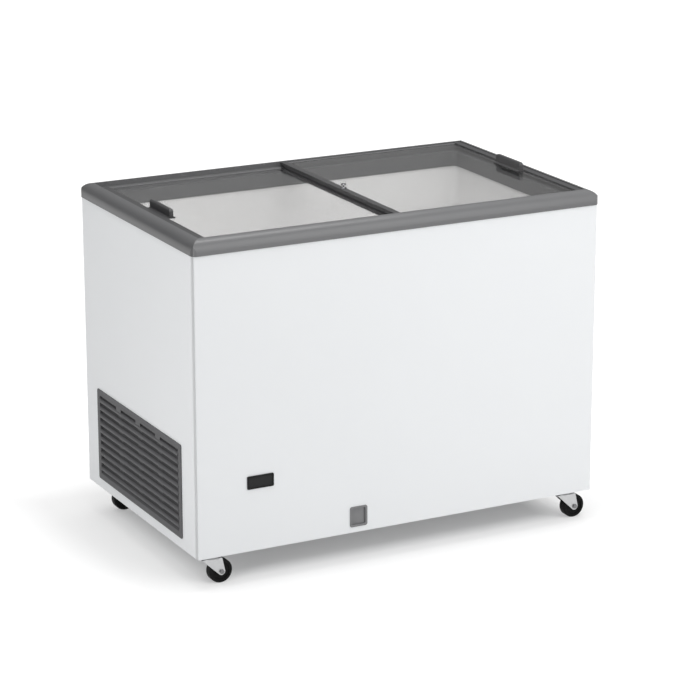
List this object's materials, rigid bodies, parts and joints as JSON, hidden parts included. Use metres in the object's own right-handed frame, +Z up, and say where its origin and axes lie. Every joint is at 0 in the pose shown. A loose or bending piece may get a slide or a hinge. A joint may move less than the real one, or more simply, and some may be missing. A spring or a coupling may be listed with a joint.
{
  "type": "glass lid chest freezer",
  "caption": "White chest freezer on swivel castors with a grey top frame, two flat sliding glass lids, a louvred side grille, a thermometer and a drain outlet.",
  "frame": {"origin": "on the floor below the middle of the cabinet", "axes": "+X to the right along the front, -Y towards the front, +Z up"},
  "size_m": [1.188, 0.728, 0.9495],
  "materials": {
    "white_steel": "smooth white powder coat",
    "grey_frame": "satin grey moulded plastic",
    "dark_profile": "satin dark grey plastic",
    "lid_glass": "clear polished tempered glass",
    "liner_white": "smooth white coated sheet",
    "foam_cream": "rigid insulating foam",
    "galvanised": "dull zinc-coated sheet",
    "zinc": "bright zinc plating",
    "grille_grey": "satin dark grey plastic",
    "black_gloss": "glossy black plastic",
    "black_paint": "semi-gloss black paint",
    "copper": "drawn copper tube",
    "rubber_black": "matt black rubber",
    "wheel_black": "matt black nylon",
    "drain_grey": "satin grey plastic",
    "chrome_lock": "polished chrome plating",
    "bare_aluminium": "mill finish"
  },
  "bodies": {
    "cabinet": {"front_panel": "white_steel", "left_panel": "white_steel", "right_panel": "white_steel", "rear_panel": "white_steel", "base_panel": "galvanised", "compartment_liner": "galvanised", "condenser_bracket": "galvanised", "fan_shroud": "galvanised", "compressor_foot": "galvanised", "foam_insulation": "foam_cream", "liner": "liner_white", "evaporator_coil": "bare_aluminium", "frame_front_rail": "grey_frame", "frame_rear_rail": "grey_frame", "frame_left_rail": "grey_frame", "frame_right_rail": "grey_frame", "inner_collar": "grey_frame", "side_grille": "grille_grey", "controller_bezel": "black_gloss", "controller_lens": "black_gloss", "terminal_box": "black_gloss", "drain_housing": "drain_grey", "drain_tube": "drain_grey", "compressor_shell": "black_paint", "fan_motor": "black_paint", "compressor_grommets": "rubber_black", "cord_gland": "rubber_black", "condenser_coil": "copper", "filter_drier": "copper", "discharge_line": "copper", "suction_line": "copper", "castor_plates": "zinc", "castor_bolts": "zinc"},
    "left_lid": {"left_glass": "lid_glass", "left_lid_runners": "dark_profile", "left_lid_end_profile": "dark_profile", "left_lid_centre_profile": "dark_profile", "left_lid_handle": "dark_profile"},
    "right_lid": {"right_glass": "lid_glass", "right_lid_runners": "dark_profile", "right_lid_end_profile": "dark_profile", "right_lid_centre_profile": "dark_profile", "right_lid_handle": "dark_profile", "centre_seal": "rubber_black", "lock_barrel": "chrome_lock"},
    "lid_lock": {"lock_plunger": "chrome_lock"},
    "drain_cap": {"drain_cap": "drain_grey"},
    "condenser_fan": {"fan_rotor": "wheel_black"},
    "castor_front_left": {"castor_fork_front_left": "zinc", "castor_axle_front_left": "zinc"},
    "wheel_front_left": {"castor_wheel_front_left": "wheel_black"},
    "castor_front_right": {"castor_fork_front_right": "zinc", "castor_axle_front_right": "zinc"},
    "wheel_front_right": {"castor_wheel_front_right": "wheel_black"},
    "castor_rear_left": {"castor_fork_rear_left": "zinc", "castor_axle_rear_left": "zinc"},
    "wheel_rear_left": {"castor_wheel_rear_left": "wheel_black"},
    "castor_rear_right": {"castor_fork_rear_right": "zinc", "castor_axle_rear_right": "zinc"},
    "wheel_rear_right": {"castor_wheel_rear_right": "wheel_black"}
  },
  "joints": [
    {"name": "left_lid_slide", "type": "slide", "parent": "cabinet", "child": "left_lid", "axis": [1, 0, 0], "range_m": [0, 0.49]},
    {"name": "right_lid_slide", "type": "slide", "parent": "cabinet", "child": "right_lid", "axis": [1, 0, 0], "range_m": [-0.49, 0]},
    {"name": "lid_lock_push", "type": "slide", "parent": "right_lid", "child": "lid_lock", "axis": [0, 0, -1], "range_m": [0, 0.005], "stiffness_N_per_m": 300, "springref_m": -0.002},
    {"name": "drain_cap_pull", "type": "slide", "parent": "cabinet", "child": "drain_cap", "axis": [0, -1, 0], "range_m": [0, 0.03]},
    {"name": "condenser_fan_spin", "type": "hinge", "parent": "cabinet", "child": "condenser_fan", "pos_m": [-0.51, -0.14, 0.21], "axis": [1, 0, 0], "continuous": true},
    {"name": "castor_swivel_front_left", "type": "hinge", "parent": "cabinet", "child": "castor_front_left", "pos_m": [-0.535, -0.312, 0.0745], "axis": [0, 0, 1], "continuous": true},
    {"name": "wheel_spin_front_left", "type": "hinge", "parent": "castor_front_left", "child": "wheel_front_left", "pos_m": [-0.509, -0.312, 0.0325], "axis": [0, 1, 0], "continuous": true},
    {"name": "castor_swivel_front_right", "type": "hinge", "parent": "cabinet", "child": "castor_front_right", "pos_m": [0.535, -0.312, 0.0745], "axis": [0, 0, 1], "continuous": true},
    {"name": "wheel_spin_front_right", "type": "hinge", "parent": "castor_front_right", "child": "wheel_front_right", "pos_m": [0.561, -0.312, 0.0325], "axis": [0, 1, 0], "continuous": true},
    {"name": "castor_swivel_rear_left", "type": "hinge", "parent": "cabinet", "child": "castor_rear_left", "pos_m": [-0.535, 0.312, 0.0745], "axis": [0, 0, 1], "continuous": true},
    {"name": "wheel_spin_rear_left", "type": "hinge", "parent": "castor_rear_left", "child": "wheel_rear_left", "pos_m": [-0.509, 0.312, 0.0325], "axis": [0, 1, 0], "continuous": true},
    {"name": "castor_swivel_rear_right", "type": "hinge", "parent": "cabinet", "child": "castor_rear_right", "pos_m": [0.535, 0.312, 0.0745], "axis": [0, 0, 1], "continuous": true},
    {"name": "wheel_spin_rear_right", "type": "hinge", "parent": "castor_rear_right", "child": "wheel_rear_right", "pos_m": [0.561, 0.312, 0.0325], "axis": [0, 1, 0], "continuous": true}
  ]
}
